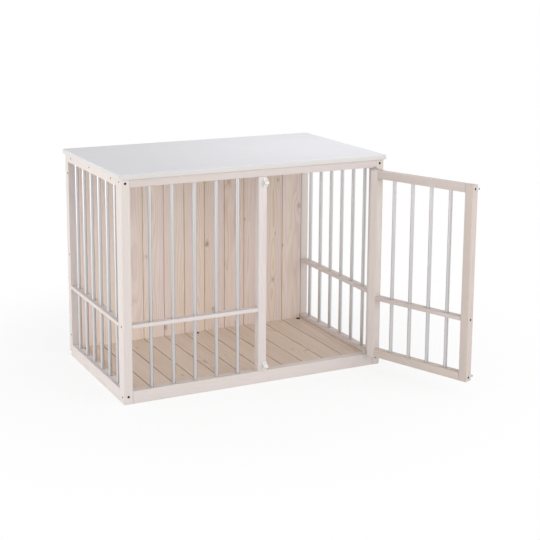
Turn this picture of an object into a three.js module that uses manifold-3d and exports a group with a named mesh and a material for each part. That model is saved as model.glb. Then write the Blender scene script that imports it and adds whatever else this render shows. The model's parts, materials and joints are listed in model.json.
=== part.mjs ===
// Dog crate end table: a whitewashed pine frame with round metal bars, a boarded back and floor,
// a white table top and a barred door that swings on corner pivots and locks with two slide bolts.
// Millimetres, +Z up. The front looks along -Y, and the origin is the middle of the footprint.
import * as THREE from 'three';
import { mergeVertices } from 'three/addons/utils/BufferGeometryUtils.js';
import Module from 'manifold-3d';

const wasm = await Module();
wasm.setup();

// Overall size of the table top and height above the ground.
const TABLE_WIDTH = 920;
const TABLE_DEPTH = 556;
const TABLE_HEIGHT = 713;
const TOP_THICKNESS = 15;
const TOP_OVERHANG = 7;
const TOP_CORNER_RADIUS = 4;
const TOP_EDGE_EASE = 1.5;

// Sawn sections.
const TIMBER = 28;
const FRONT_POST_DEPTH = 44;
const TOP_RAIL_HEIGHT = 25;
const MID_RAIL_HEIGHT = 12;
const MID_RAIL_UNDERSIDE = 238;
const BOTTOM_RAIL_HEIGHT = 40;
const EDGE_EASE = 1.5;

// Clearances.
const JOINT_GAP = 0.3;
const BORE_CLEARANCE = 0.3;

// How far a drill or cutter runs past the faces it opens.
const OVERRUN = 1;

// Round bars and the space from a post to the middle of the first bar.
const BAR_DIAMETER = 12;
const BAR_SIDES = 16;
const SOCKET_DEPTH = 12;
const FRONT_BAR_COUNT = 5;
const FRONT_BAR_END_SPACE = 66.5;
const SIDE_BAR_COUNT = 6;
const SIDE_BAR_END_SPACE = 47.5;
const DOOR_BAR_COUNT = 4;
const DOOR_BAR_END_SPACE = 60;

// Tongue-and-groove boarding of the back and the floor.
const BOARD_COUNT = 11;
const BACK_BOARD_THICKNESS = 14;
const FLOOR_BOARD_THICKNESS = 12;
const SEAM_WIDTH = 4;
const SEAM_DEPTH = 2.2;
const BOARD_BACK_GAP_WIDTH = 1.2;
const BOARD_BACK_GAP_DEPTH = 3.5;
const FLOOR_TOP = 27;
const BACK_GROUND_CLEARANCE = 14;
const CLEAT_HEIGHT = 44;
const CLEAT_THICKNESS = 14;
const BATTEN_WIDTH = 40;

// Recessed fastener holes.
const BOLT_RECESS_DIAMETER = 8;
const BOLT_RECESS_DEPTH = 5;
const BOLT_HEIGHT = 24;
const FLOOR_HOLE_DIAMETER = 9;
const FLOOR_HOLE_INSET = 17;
const SCREW_RECESS_DIAMETER = 5.5;
const SCREW_RECESS_DEPTH = 2.5;
const HOLE_SIDES = 14;

// Doorway and door.
const DOORWAY_WIDTH = 397;
const DOOR_SIDE_GAP = 3;
const DOOR_END_GAP = 4;
const DOOR_RAIL_HEIGHT = 25;
const DOOR_OPEN_ANGLE = 111;

// Corner pivots of the door: two leaves with eyes on one rivet, in front of the frame.
const PIVOT_STANDOFF = 5;
const LEAF_THICKNESS = 1.5;
const LEAF_LENGTH = 32;
const LEAF_DEPTH = 24;
const LEAF_CORNER_RADIUS = 4;
const LEAF_SETBACK = 1;
const NECK_WIDTH = 8;
const EYE_RADIUS = 4;
const RIVET_RADIUS = 2;
const RIVET_HEAD_RADIUS = 3.2;
const RIVET_HEAD_HEIGHT = 3;
const RIVET_CROWN_RADIUS = 1.9;
const RIVET_CROWN_HEIGHT = 1.6;
const ROUND_SIDES = 24;

// Slide bolts and their keepers: a flat base plate with a half-round barrel across it.
const UPPER_LATCH_INSET = 15;
const LOWER_LATCH_INSET = 12;
const LATCH_HEIGHT = 29;
const LATCH_BASE_THICKNESS = 3;
const LATCH_BASE_EASE = 1;
const LATCH_CORNER_RADIUS = 5;
const BARREL_RADIUS = 5.5;
const BARREL_CROWN = 13;
const HOUSING_LENGTH = 27;
const HOUSING_SETBACK = 0.5;
const KEEPER_LENGTH = 14;
const KEEPER_REACH = 1;
const BOLT_RADIUS = 2.8;
const BOLT_CLEARANCE = 0.5;
const BOLT_TRAVEL = 12;
const BOLT_TIP_RECESS = 0.5;
const BOLT_TIP_CHAMFER = 0.8;
const KNOB_STEM_RADIUS = 2.2;
const KNOB_RADIUS = 4;
const KNOB_HEIGHT = 4;
const LATCH_SCREW_DIAMETER = 4.6;
const LATCH_SCREW_DEPTH = 1.2;
const LATCH_SCREW_OFFSET = 9;

// Derived planes of the body under the table top.
const RIGHT = TABLE_WIDTH / 2 - TOP_OVERHANG;
const LEFT = -RIGHT;
const BACK = TABLE_DEPTH / 2 - TOP_OVERHANG;
const FRONT = -BACK;
const FRAME_TOP = TABLE_HEIGHT - TOP_THICKNESS;
const INNER_RIGHT = RIGHT - TIMBER;
const INNER_LEFT = -INNER_RIGHT;
const INNER_BACK = BACK - TIMBER;
const INNER_FRONT = FRONT + TIMBER;
const FRONT_POST_BACK = FRONT + FRONT_POST_DEPTH;
const TOP_RAIL_UNDERSIDE = FRAME_TOP - TOP_RAIL_HEIGHT;
const MID_RAIL_TOP = MID_RAIL_UNDERSIDE + MID_RAIL_HEIGHT;
const DOORWAY_LEFT = INNER_RIGHT - DOORWAY_WIDTH;
const CENTRE_POST_LEFT = DOORWAY_LEFT - TIMBER;
const BACK_BOARD_REAR = INNER_BACK + BACK_BOARD_THICKNESS;
const FLOOR_UNDERSIDE = FLOOR_TOP - FLOOR_BOARD_THICKNESS;
const BOARDED_WIDTH = INNER_RIGHT - INNER_LEFT;
const BAR_RADIUS = BAR_DIAMETER / 2;
const BAR_BOTTOM = BOTTOM_RAIL_HEIGHT - SOCKET_DEPTH + JOINT_GAP;
const BAR_TOP = TOP_RAIL_UNDERSIDE + SOCKET_DEPTH - JOINT_GAP;

// The door in its own frame: the rivet is the z axis, and the closed door runs along -X.
const PIVOT_X = INNER_RIGHT - DOOR_SIDE_GAP / 2;
const PIVOT_Y = FRONT - PIVOT_STANDOFF;
const DOOR_HINGE_EDGE = INNER_RIGHT - DOOR_SIDE_GAP - PIVOT_X;
const DOOR_FREE_EDGE = DOORWAY_LEFT + DOOR_SIDE_GAP - PIVOT_X;
const DOOR_OUTER = FRONT - PIVOT_Y;
const DOOR_INNER = DOOR_OUTER + TIMBER;
const DOOR_BOTTOM = BOTTOM_RAIL_HEIGHT + DOOR_END_GAP;
const DOOR_TOP = TOP_RAIL_UNDERSIDE - DOOR_END_GAP;
const STILE_HINGE_INNER = DOOR_HINGE_EDGE - TIMBER;
const STILE_FREE_INNER = DOOR_FREE_EDGE + TIMBER;
const NECK_EDGE = INNER_RIGHT - JOINT_GAP - PIVOT_X;
const BARREL_AXIS = BARREL_CROWN - BARREL_RADIUS;
const UPPER_LATCH_HEIGHT = DOOR_TOP - UPPER_LATCH_INSET;
const LOWER_LATCH_HEIGHT = DOOR_BOTTOM + LOWER_LATCH_INSET;

// Finishes.
const pine = new THREE.MeshStandardMaterial({ color: 0xe3dad4, roughness: 0.7, metalness: 0 });
const boards = new THREE.MeshStandardMaterial({ color: 0xcdb8aa, roughness: 0.75, metalness: 0 });
const white = new THREE.MeshStandardMaterial({ color: 0xe9e9e9, roughness: 0.4, metalness: 0 });
const metal = new THREE.MeshStandardMaterial({ color: 0xc9cacb, roughness: 0.35, metalness: 1 });
const plastic = new THREE.MeshStandardMaterial({ color: 0xf2f1ee, roughness: 0.45, metalness: 0 });
const steel = new THREE.MeshStandardMaterial({ color: 0x8f8f8c, roughness: 0.4, metalness: 1 });

// World axes of a section's two sides and of its length, for a length along x, y or z.
const axisNames = ['x', 'y', 'z'];
const axisOrders = { x: ['y', 'z', 'x'], y: ['z', 'x', 'y'], z: ['x', 'y', 'z'] };

/** Turns geometry made along +Z so that it runs along the named axis. */
function runAlong(geometry, axis) {
  const unit = {
    x: new THREE.Vector3(1, 0, 0),
    y: new THREE.Vector3(0, 1, 0),
    z: new THREE.Vector3(0, 0, 1),
  };
  const [first, second, length] = axisOrders[axis].map((name) => unit[name]);
  return geometry.applyMatrix4(new THREE.Matrix4().makeBasis(first, second, length));
}

/** Closed three.js geometry as a solid that can be joined and cut. */
function solid(geometry) {
  const bare = geometry.index ? geometry.toNonIndexed() : geometry.clone();
  bare.deleteAttribute('normal');
  bare.deleteAttribute('uv');
  const merged = mergeVertices(bare, 1e-4);
  return new wasm.Manifold(new wasm.Mesh({
    numProp: 3,
    vertProperties: new Float32Array(merged.attributes.position.array),
    triVerts: new Uint32Array(merged.index.array),
  }));
}

/** A joined or cut solid as three.js geometry. */
function surface(body) {
  const mesh = body.getMesh();
  const geometry = new THREE.BufferGeometry();
  geometry.setAttribute('position', new THREE.BufferAttribute(new Float32Array(mesh.vertProperties), 3));
  geometry.setIndex(new THREE.BufferAttribute(new Uint32Array(mesh.triVerts), 1));
  geometry.computeVertexNormals();
  return geometry;
}

/** Geometry with every tool taken out of it. */
function cut(geometry, tools) {
  const body = tools.reduce((rest, tool) => rest.subtract(solid(tool)), solid(geometry));
  return surface(body);
}

/** A rectangle from (x0, y0) to (x1, y1) with round corners. */
function roundedRectangle(x0, y0, x1, y1, radius) {
  const shape = new THREE.Shape();
  shape.moveTo(x0 + radius, y0);
  shape.lineTo(x1 - radius, y0);
  shape.absarc(x1 - radius, y0 + radius, radius, -Math.PI / 2, 0, false);
  shape.lineTo(x1, y1 - radius);
  shape.absarc(x1 - radius, y1 - radius, radius, 0, Math.PI / 2, false);
  shape.lineTo(x0 + radius, y1);
  shape.absarc(x0 + radius, y1 - radius, radius, Math.PI / 2, Math.PI, false);
  shape.lineTo(x0, y0 + radius);
  shape.absarc(x0 + radius, y0 + radius, radius, Math.PI, 1.5 * Math.PI, false);
  return shape;
}

/** A straight extrusion of a section, along the named axis. */
function prism(shape, length, axis, curveSegments = 2) {
  const options = { depth: length, bevelEnabled: false, curveSegments };
  return runAlong(new THREE.ExtrudeGeometry(shape, options), axis);
}

/** Sawn timber of the given size with eased long edges, its lowest corner at the origin. */
function timber(size, grain) {
  const [first, second, length] = axisOrders[grain].map((name) => size[axisNames.indexOf(name)]);
  return prism(roundedRectangle(0, 0, first, second, EDGE_EASE), length, grain);
}

/** A round rod, or the drill for a hole, from its start along the named axis. */
function rod(radius, length, axis, start = [0, 0, 0], sides = BAR_SIDES) {
  const cylinder = new THREE.CylinderGeometry(radius, radius, length, sides);
  cylinder.rotateX(Math.PI / 2);
  cylinder.translate(0, 0, length / 2);
  return runAlong(cylinder, axis).translate(...start);
}

/** Places of a row of bars between two posts. */
function barPlaces(from, to, endSpace, count) {
  const pitch = (to - from - 2 * endSpace) / (count - 1);
  return Array.from({ length: count }, (_, index) => from + endSpace + index * pitch);
}

/** Adds a named mesh to a group at a place. */
function add(group, name, geometry, material, place = [0, 0, 0]) {
  const mesh = new THREE.Mesh(geometry, material);
  mesh.name = name;
  mesh.position.set(...place);
  group.add(mesh);
  return mesh;
}

const BORE_RADIUS = BAR_RADIUS + BORE_CLEARANCE;
const frontBars = barPlaces(INNER_LEFT, CENTRE_POST_LEFT, FRONT_BAR_END_SPACE, FRONT_BAR_COUNT);
const sideBars = barPlaces(FRONT_POST_BACK, INNER_BACK, SIDE_BAR_END_SPACE, SIDE_BAR_COUNT);
const doorBars = barPlaces(STILE_HINGE_INNER, STILE_FREE_INNER, -DOOR_BAR_END_SPACE, DOOR_BAR_COUNT);

/** A rail with a row of bores: sockets in its underside or top, or holes right through. */
function boredRail(size, grain, places, kind) {
  const depth = kind === 'through' ? size[2] : SOCKET_DEPTH;
  const start = kind === 'underside' ? 0 : size[2] - depth;
  const below = kind === 'top' ? 0 : OVERRUN;
  const above = kind === 'underside' ? 0 : OVERRUN;
  const drills = places.map((place) => {
    const centre = [size[0] / 2, size[1] / 2];
    centre[axisNames.indexOf(grain)] = place;
    return rod(BORE_RADIUS, below + depth + above, 'z', [...centre, start - below]);
  });
  return cut(timber(size, grain), drills);
}

/** White table top with eased edges and slightly rounded corners. */
function tableTop() {
  const reachX = TABLE_WIDTH / 2 - TOP_EDGE_EASE;
  const reachY = TABLE_DEPTH / 2 - TOP_EDGE_EASE;
  const radius = TOP_CORNER_RADIUS - TOP_EDGE_EASE;
  return new THREE.ExtrudeGeometry(roundedRectangle(-reachX, -reachY, reachX, reachY, radius), {
    depth: TOP_THICKNESS - 2 * TOP_EDGE_EASE,
    bevelEnabled: true,
    bevelThickness: TOP_EDGE_EASE,
    bevelSize: TOP_EDGE_EASE,
    bevelSegments: 2,
    curveSegments: 4,
  }).translate(0, 0, TOP_EDGE_EASE);
}

/** Corner post of the front, with the recesses of the two bolts that hold the side rails. */
function frontPost() {
  const heights = [BOLT_HEIGHT, TOP_RAIL_UNDERSIDE + TOP_RAIL_HEIGHT / 2];
  const radius = BOLT_RECESS_DIAMETER / 2;
  const drills = heights.map((height) => (
    rod(radius, BOLT_RECESS_DEPTH + OVERRUN, 'y', [TIMBER / 2, -OVERRUN, height], HOLE_SIDES)
  ));
  return cut(timber([TIMBER, FRONT_POST_DEPTH, FRAME_TOP], 'z'), drills);
}

/** Back stile that ends above the ground and laps behind the end of the side's bottom rail. */
function backStile() {
  const height = FRAME_TOP - BACK_GROUND_CLEARANCE;
  const lapDepth = BACK_BOARD_THICKNESS + JOINT_GAP;
  const lapHeight = BOTTOM_RAIL_HEIGHT - BACK_GROUND_CLEARANCE + JOINT_GAP;
  const lap = new THREE.BoxGeometry(TIMBER + 2 * OVERRUN, lapDepth + OVERRUN, lapHeight + OVERRUN);
  lap.translate(TIMBER / 2, (lapDepth - OVERRUN) / 2, (lapHeight - OVERRUN) / 2);
  return cut(timber([TIMBER, TIMBER, height], 'z'), [lap]);
}

/** Tongue-and-groove boards joined edge to edge: bevelled seams on the face, gaps at the rear. */
function boarding(width, thickness, length) {
  const pitch = width / BOARD_COUNT;
  const section = new THREE.Shape();
  section.moveTo(0, 0);
  for (let seam = 1; seam < BOARD_COUNT; seam += 1) {
    section.lineTo(seam * pitch - SEAM_WIDTH / 2, 0);
    section.lineTo(seam * pitch, SEAM_DEPTH);
    section.lineTo(seam * pitch + SEAM_WIDTH / 2, 0);
  }
  section.lineTo(width, 0);
  section.lineTo(width, thickness);
  for (let seam = BOARD_COUNT - 1; seam > 0; seam -= 1) {
    section.lineTo(seam * pitch + BOARD_BACK_GAP_WIDTH / 2, thickness);
    section.lineTo(seam * pitch + BOARD_BACK_GAP_WIDTH / 2, thickness - BOARD_BACK_GAP_DEPTH);
    section.lineTo(seam * pitch - BOARD_BACK_GAP_WIDTH / 2, thickness - BOARD_BACK_GAP_DEPTH);
    section.lineTo(seam * pitch - BOARD_BACK_GAP_WIDTH / 2, thickness);
  }
  section.lineTo(0, thickness);
  return prism(section, length, 'z');
}

/** Frame of one side: bored rails between the front post and the back stile, and its bars. */
function addSide(group, side, outer) {
  const railStart = FRONT_POST_BACK + JOINT_GAP;
  const railLength = INNER_BACK - FRONT_POST_BACK - 2 * JOINT_GAP;
  const places = sideBars.map((place) => place - railStart);
  const lapped = BACK_BOARD_REAR - railStart;
  const top = boredRail([TIMBER, railLength, TOP_RAIL_HEIGHT], 'y', places, 'underside');
  const mid = boredRail([TIMBER, railLength, MID_RAIL_HEIGHT], 'y', places, 'through');
  const bottom = boredRail([TIMBER, lapped, BOTTOM_RAIL_HEIGHT], 'y', places, 'top');
  add(group, `${side}_top_rail`, top, pine, [outer, railStart, TOP_RAIL_UNDERSIDE]);
  add(group, `${side}_mid_rail`, mid, pine, [outer, railStart, MID_RAIL_UNDERSIDE]);
  add(group, `${side}_bottom_rail`, bottom, pine, [outer, railStart, 0]);
  add(group, `front_${side}_post`, frontPost(), pine, [outer, FRONT, 0]);
  add(group, `back_${side}_stile`, backStile(), pine, [outer, INNER_BACK, BACK_GROUND_CLEARANCE]);
  sideBars.forEach((place, index) => {
    const bar = rod(BAR_RADIUS, BAR_TOP - BAR_BOTTOM, 'z');
    add(group, `${side}_bar_${index + 1}`, bar, metal, [outer + TIMBER / 2, place, BAR_BOTTOM]);
  });
}

/** Front frame: rails between the corner posts, the centre post and the barred left bay. */
function addFront(group) {
  const start = INNER_LEFT + JOINT_GAP;
  const length = BOARDED_WIDTH - 2 * JOINT_GAP;
  const bay = CENTRE_POST_LEFT - INNER_LEFT - 2 * JOINT_GAP;
  const places = frontBars.map((place) => place - start);
  const top = boredRail([length, TIMBER, TOP_RAIL_HEIGHT], 'x', places, 'underside');
  const mid = boredRail([bay, TIMBER, MID_RAIL_HEIGHT], 'x', places, 'through');
  const bottom = boredRail([length, TIMBER, BOTTOM_RAIL_HEIGHT], 'x', places, 'top');
  const postHeight = TOP_RAIL_UNDERSIDE - BOTTOM_RAIL_HEIGHT - 2 * JOINT_GAP;
  const post = timber([TIMBER, TIMBER, postHeight], 'z');
  add(group, 'front_top_rail', top, pine, [start, FRONT, TOP_RAIL_UNDERSIDE]);
  add(group, 'front_mid_rail', mid, pine, [start, FRONT, MID_RAIL_UNDERSIDE]);
  add(group, 'front_bottom_rail', bottom, pine, [start, FRONT, 0]);
  add(group, 'centre_post', post, pine, [CENTRE_POST_LEFT, FRONT, BOTTOM_RAIL_HEIGHT + JOINT_GAP]);
  frontBars.forEach((place, index) => {
    const bar = rod(BAR_RADIUS, BAR_TOP - BAR_BOTTOM, 'z');
    add(group, `front_bar_${index + 1}`, bar, metal, [place, FRONT + TIMBER / 2, BAR_BOTTOM]);
  });
}

/** Boarded back wall with the cleats that hold its boards together behind. */
function addBack(group) {
  const start = INNER_LEFT + JOINT_GAP;
  const width = BOARDED_WIDTH - 2 * JOINT_GAP;
  const height = FRAME_TOP - BACK_GROUND_CLEARANCE;
  const cleat = timber([width, CLEAT_THICKNESS, CLEAT_HEIGHT], 'x');
  const cleatTop = FRAME_TOP - CLEAT_HEIGHT;
  add(group, 'back_panel', boarding(width, BACK_BOARD_THICKNESS, height), boards,
    [start, INNER_BACK, BACK_GROUND_CLEARANCE]);
  add(group, 'back_top_cleat', cleat, pine, [start, BACK_BOARD_REAR + JOINT_GAP, cleatTop]);
  add(group, 'back_bottom_cleat', cleat.clone(), pine,
    [start, BACK_BOARD_REAR + JOINT_GAP, BACK_GROUND_CLEARANCE]);
}

/** Boarded floor on three battens, with a row of fastener holes along the back wall. */
function addFloor(group) {
  const start = INNER_LEFT + JOINT_GAP;
  const width = BOARDED_WIDTH - 2 * JOINT_GAP;
  const depth = INNER_BACK - INNER_FRONT - 2 * JOINT_GAP;
  const panel = boarding(width, FLOOR_BOARD_THICKNESS, depth);
  panel.rotateX(-Math.PI / 2).translate(0, 0, FLOOR_BOARD_THICKNESS);
  const holeX = [FLOOR_HOLE_INSET, width / 2, width - FLOOR_HOLE_INSET];
  const holeDepth = FLOOR_BOARD_THICKNESS + 2 * OVERRUN;
  const drills = holeX.map((x) => (
    rod(FLOOR_HOLE_DIAMETER / 2, holeDepth, 'z', [x, depth - FLOOR_HOLE_INSET, -OVERRUN], HOLE_SIDES)
  ));
  add(group, 'floor_panel', cut(panel, drills), boards,
    [start, INNER_FRONT + JOINT_GAP, FLOOR_UNDERSIDE]);
  const battenStarts = {
    front: INNER_FRONT + JOINT_GAP,
    middle: -BATTEN_WIDTH / 2,
    back: INNER_BACK - JOINT_GAP - BATTEN_WIDTH,
  };
  Object.entries(battenStarts).forEach(([where, y]) => {
    const batten = timber([width, BATTEN_WIDTH, FLOOR_UNDERSIDE], 'x');
    add(group, `floor_batten_${where}`, batten, pine, [start, y, 0]);
  });
}

/** A flat pivot leaf: a plate whose edge is at plateEdge, a neck, and an eye over the rivet. */
function pivotLeaf(plateEdge) {
  const front = PIVOT_STANDOFF + LEAF_SETBACK;
  const outline = roundedRectangle(
    plateEdge - LEAF_LENGTH, front, plateEdge, front + LEAF_DEPTH, LEAF_CORNER_RADIUS,
  );
  const neckDepth = front + LEAF_DEPTH / 2;
  const neck = new THREE.BoxGeometry(NECK_WIDTH, neckDepth, LEAF_THICKNESS);
  neck.translate(NECK_EDGE - NECK_WIDTH / 2, neckDepth / 2, LEAF_THICKNESS / 2);
  const plate = prism(outline, LEAF_THICKNESS, 'z', 4);
  const eye = rod(EYE_RADIUS, LEAF_THICKNESS, 'z', [0, 0, 0], ROUND_SIDES);
  const holeRadius = RIVET_RADIUS + BORE_CLEARANCE;
  const hole = rod(holeRadius, LEAF_THICKNESS + 2 * OVERRUN, 'z', [0, 0, -OVERRUN], ROUND_SIDES);
  return surface(solid(plate).add(solid(neck)).add(solid(eye)).subtract(solid(hole)));
}

/** Rivet of a corner pivot: a shank with a crowned head at each end. */
function pivotRivet(shankLength) {
  const crown = RIVET_HEAD_HEIGHT;
  const edge = RIVET_HEAD_HEIGHT - RIVET_CROWN_HEIGHT;
  const profile = [
    new THREE.Vector2(0, -crown),
    new THREE.Vector2(RIVET_CROWN_RADIUS, -crown),
    new THREE.Vector2(RIVET_HEAD_RADIUS, -edge),
    new THREE.Vector2(RIVET_HEAD_RADIUS, 0),
    new THREE.Vector2(RIVET_RADIUS, 0),
    new THREE.Vector2(RIVET_RADIUS, shankLength),
    new THREE.Vector2(RIVET_HEAD_RADIUS, shankLength),
    new THREE.Vector2(RIVET_HEAD_RADIUS, shankLength + edge),
    new THREE.Vector2(RIVET_CROWN_RADIUS, shankLength + crown),
    new THREE.Vector2(0, shankLength + crown),
  ];
  return new THREE.LatheGeometry(profile, ROUND_SIDES).rotateX(Math.PI / 2);
}

/** Base plate of a latch, from x = 0, standing out along -Y: round corners and an eased front. */
function latchPlate(length) {
  const inset = LATCH_BASE_EASE;
  const half = LATCH_HEIGHT / 2 - inset;
  const outline = roundedRectangle(-half, inset, half, length - inset, LATCH_CORNER_RADIUS - inset);
  const plate = new THREE.ExtrudeGeometry(outline, {
    depth: LATCH_BASE_THICKNESS,
    bevelEnabled: true,
    bevelThickness: inset,
    bevelSize: inset,
    bevelSegments: 2,
    curveSegments: 4,
  });
  const placed = runAlong(plate, 'y').translate(0, inset - LATCH_BASE_THICKNESS, 0);
  return solid(placed).trimByPlane([0, -1, 0], 0);
}

/** Section of a latch's barrel: straight walls from the base plate's foot under a half-round. */
function barrelSection() {
  const section = new THREE.Shape();
  section.moveTo(-BARREL_RADIUS, 0);
  section.lineTo(BARREL_RADIUS, 0);
  section.lineTo(BARREL_RADIUS, BARREL_AXIS);
  section.absarc(0, BARREL_AXIS, BARREL_RADIUS, 0, Math.PI, false);
  return section;
}

/** A latch body along +X, standing out along -Y from its base, bored for the bolt. */
function latchBody(length) {
  const options = { depth: length, bevelEnabled: false, curveSegments: 8 };
  const barrel = new THREE.ExtrudeGeometry(barrelSection(), options);
  barrel.applyMatrix4(new THREE.Matrix4().makeBasis(
    new THREE.Vector3(0, 0, 1), new THREE.Vector3(0, -1, 0), new THREE.Vector3(1, 0, 0),
  ));
  const boreLength = length + 2 * OVERRUN;
  const bore = rod(BOLT_RADIUS + BOLT_CLEARANCE, boreLength, 'x', [-OVERRUN, -BARREL_AXIS, 0]);
  const recessDepth = LATCH_SCREW_DEPTH + OVERRUN;
  const recesses = [-LATCH_SCREW_OFFSET, LATCH_SCREW_OFFSET].map((height) => {
    const start = [length / 2, -LATCH_BASE_THICKNESS - OVERRUN, height];
    return rod(LATCH_SCREW_DIAMETER / 2, recessDepth, 'y', start, HOLE_SIDES);
  });
  const body = latchPlate(length).add(solid(barrel));
  return [bore, ...recesses].reduce((rest, tool) => rest.subtract(solid(tool)), body);
}

/** Slide bolt housing: a latch body with the slot that the thumb knob travels in. */
function boltHousing() {
  const width = 2 * (KNOB_STEM_RADIUS + BOLT_CLEARANCE);
  const length = BOLT_TRAVEL + width;
  const slot = new THREE.BoxGeometry(length, BARREL_CROWN, width);
  slot.translate(HOUSING_LENGTH / 2, -BARREL_AXIS - BARREL_CROWN / 2, 0);
  return surface(latchBody(HOUSING_LENGTH).subtract(solid(slot)));
}

/** Slide bolt: a rod with a chamfered tip at the origin end and a thumb knob through the slot. */
function slideBolt() {
  const length = HOUSING_LENGTH - 2 * BOLT_TIP_RECESS;
  const profile = [
    new THREE.Vector2(0, 0),
    new THREE.Vector2(BOLT_RADIUS - BOLT_TIP_CHAMFER, 0),
    new THREE.Vector2(BOLT_RADIUS, BOLT_TIP_CHAMFER),
    new THREE.Vector2(BOLT_RADIUS, length),
    new THREE.Vector2(0, length),
  ];
  const shaft = new THREE.LatheGeometry(profile, BAR_SIDES).rotateZ(-Math.PI / 2);
  const knobPlace = HOUSING_LENGTH / 2 + BOLT_TRAVEL / 2 - BOLT_TIP_RECESS;
  const stemLength = BARREL_RADIUS + BOLT_CLEARANCE + OVERRUN;
  const stem = rod(KNOB_STEM_RADIUS, stemLength, 'y', [knobPlace, -stemLength, 0]);
  const knobStart = -BARREL_RADIUS - BOLT_CLEARANCE - KNOB_HEIGHT;
  const knob = rod(KNOB_RADIUS, KNOB_HEIGHT, 'y', [knobPlace, knobStart, 0], ROUND_SIDES);
  return surface(solid(shaft).add(solid(stem)).add(solid(knob)));
}

/** Keepers on the centre post, in line with the bolts of the closed door. */
function addKeepers(group) {
  const start = DOORWAY_LEFT + KEEPER_REACH - KEEPER_LENGTH;
  const heights = { upper: UPPER_LATCH_HEIGHT, lower: LOWER_LATCH_HEIGHT };
  Object.entries(heights).forEach(([where, height]) => {
    const keeper = surface(latchBody(KEEPER_LENGTH));
    add(group, `${where}_keeper`, keeper, plastic, [start, FRONT - JOINT_GAP, height]);
  });
}

/** Fixed halves of the corner pivots: the leaf on each rail and the rivet through both leaves. */
function addPivots(group) {
  const leaf = pivotLeaf(NECK_EDGE);
  const shank = DOOR_END_GAP + 2 * JOINT_GAP;
  add(group, 'upper_frame_leaf', leaf, steel, [PIVOT_X, PIVOT_Y, TOP_RAIL_UNDERSIDE - LEAF_THICKNESS]);
  add(group, 'lower_frame_leaf', leaf.clone(), steel, [PIVOT_X, PIVOT_Y, BOTTOM_RAIL_HEIGHT]);
  add(group, 'upper_pivot_rivet', pivotRivet(shank), steel, [PIVOT_X, PIVOT_Y, DOOR_TOP - JOINT_GAP]);
  add(group, 'lower_pivot_rivet', pivotRivet(shank), steel,
    [PIVOT_X, PIVOT_Y, BOTTOM_RAIL_HEIGHT - JOINT_GAP]);
}

/** The free stile of the door, with the recesses of the screws that hold its three rails. */
function freeStile(height) {
  const heights = [
    DOOR_RAIL_HEIGHT / 2,
    MID_RAIL_UNDERSIDE + MID_RAIL_HEIGHT / 2 - DOOR_BOTTOM,
    height - DOOR_RAIL_HEIGHT / 2,
  ];
  const radius = SCREW_RECESS_DIAMETER / 2;
  const drills = heights.map((z) => (
    rod(radius, SCREW_RECESS_DEPTH + OVERRUN, 'x', [-OVERRUN, TIMBER / 2, z], HOLE_SIDES)
  ));
  return cut(timber([TIMBER, TIMBER, height], 'z'), drills);
}

/** The door: stiles, rails and bars about the pivot axis, with its leaves and slide bolts. */
function makeDoor() {
  const door = new THREE.Group();
  const height = DOOR_TOP - DOOR_BOTTOM;
  const railStart = STILE_FREE_INNER + JOINT_GAP;
  const railLength = STILE_HINGE_INNER - STILE_FREE_INNER - 2 * JOINT_GAP;
  const places = doorBars.map((place) => place - railStart);
  const top = boredRail([railLength, TIMBER, DOOR_RAIL_HEIGHT], 'x', places, 'underside');
  const mid = boredRail([railLength, TIMBER, MID_RAIL_HEIGHT], 'x', places, 'through');
  const bottom = boredRail([railLength, TIMBER, DOOR_RAIL_HEIGHT], 'x', places, 'top');
  const hingeStile = timber([TIMBER, TIMBER, height], 'z');
  add(door, 'door_hinge_stile', hingeStile, pine, [STILE_HINGE_INNER, DOOR_OUTER, DOOR_BOTTOM]);
  add(door, 'door_free_stile', freeStile(height), pine, [DOOR_FREE_EDGE, DOOR_OUTER, DOOR_BOTTOM]);
  add(door, 'door_top_rail', top, pine, [railStart, DOOR_OUTER, DOOR_TOP - DOOR_RAIL_HEIGHT]);
  add(door, 'door_mid_rail', mid, pine, [railStart, DOOR_OUTER, MID_RAIL_UNDERSIDE]);
  add(door, 'door_bottom_rail', bottom, pine, [railStart, DOOR_OUTER, DOOR_BOTTOM]);
  const barBottom = DOOR_BOTTOM + DOOR_RAIL_HEIGHT - SOCKET_DEPTH + JOINT_GAP;
  const barTop = DOOR_TOP - DOOR_RAIL_HEIGHT + SOCKET_DEPTH - JOINT_GAP;
  doorBars.forEach((place, index) => {
    const bar = rod(BAR_RADIUS, barTop - barBottom, 'z');
    add(door, `door_bar_${index + 1}`, bar, metal, [place, DOOR_OUTER + TIMBER / 2, barBottom]);
  });
  const leaf = pivotLeaf(DOOR_HINGE_EDGE - LEAF_SETBACK);
  add(door, 'upper_door_leaf', leaf, steel, [0, 0, DOOR_TOP + JOINT_GAP]);
  add(door, 'lower_door_leaf', leaf.clone(), steel, [0, 0, DOOR_BOTTOM - JOINT_GAP - LEAF_THICKNESS]);
  const heights = { upper: UPPER_LATCH_HEIGHT, lower: LOWER_LATCH_HEIGHT };
  Object.entries(heights).forEach(([where, z]) => {
    const start = DOOR_FREE_EDGE + HOUSING_SETBACK;
    const base = DOOR_OUTER - JOINT_GAP;
    add(door, `${where}_bolt_housing`, boltHousing(), plastic, [start, base, z]);
    add(door, `${where}_slide_bolt`, slideBolt(), steel, [start + BOLT_TIP_RECESS, base - BARREL_AXIS, z]);
  });
  door.position.set(PIVOT_X, PIVOT_Y, 0);
  door.rotation.z = THREE.MathUtils.degToRad(DOOR_OPEN_ANGLE);
  return door;
}

const crate = new THREE.Group();
add(crate, 'table_top', tableTop(), white, [0, 0, FRAME_TOP]);
addFront(crate);
addSide(crate, 'left', LEFT);
addSide(crate, 'right', INNER_RIGHT);
addBack(crate);
addFloor(crate);
addKeepers(crate);
addPivots(crate);
crate.add(makeDoor());

export default crate;
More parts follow.
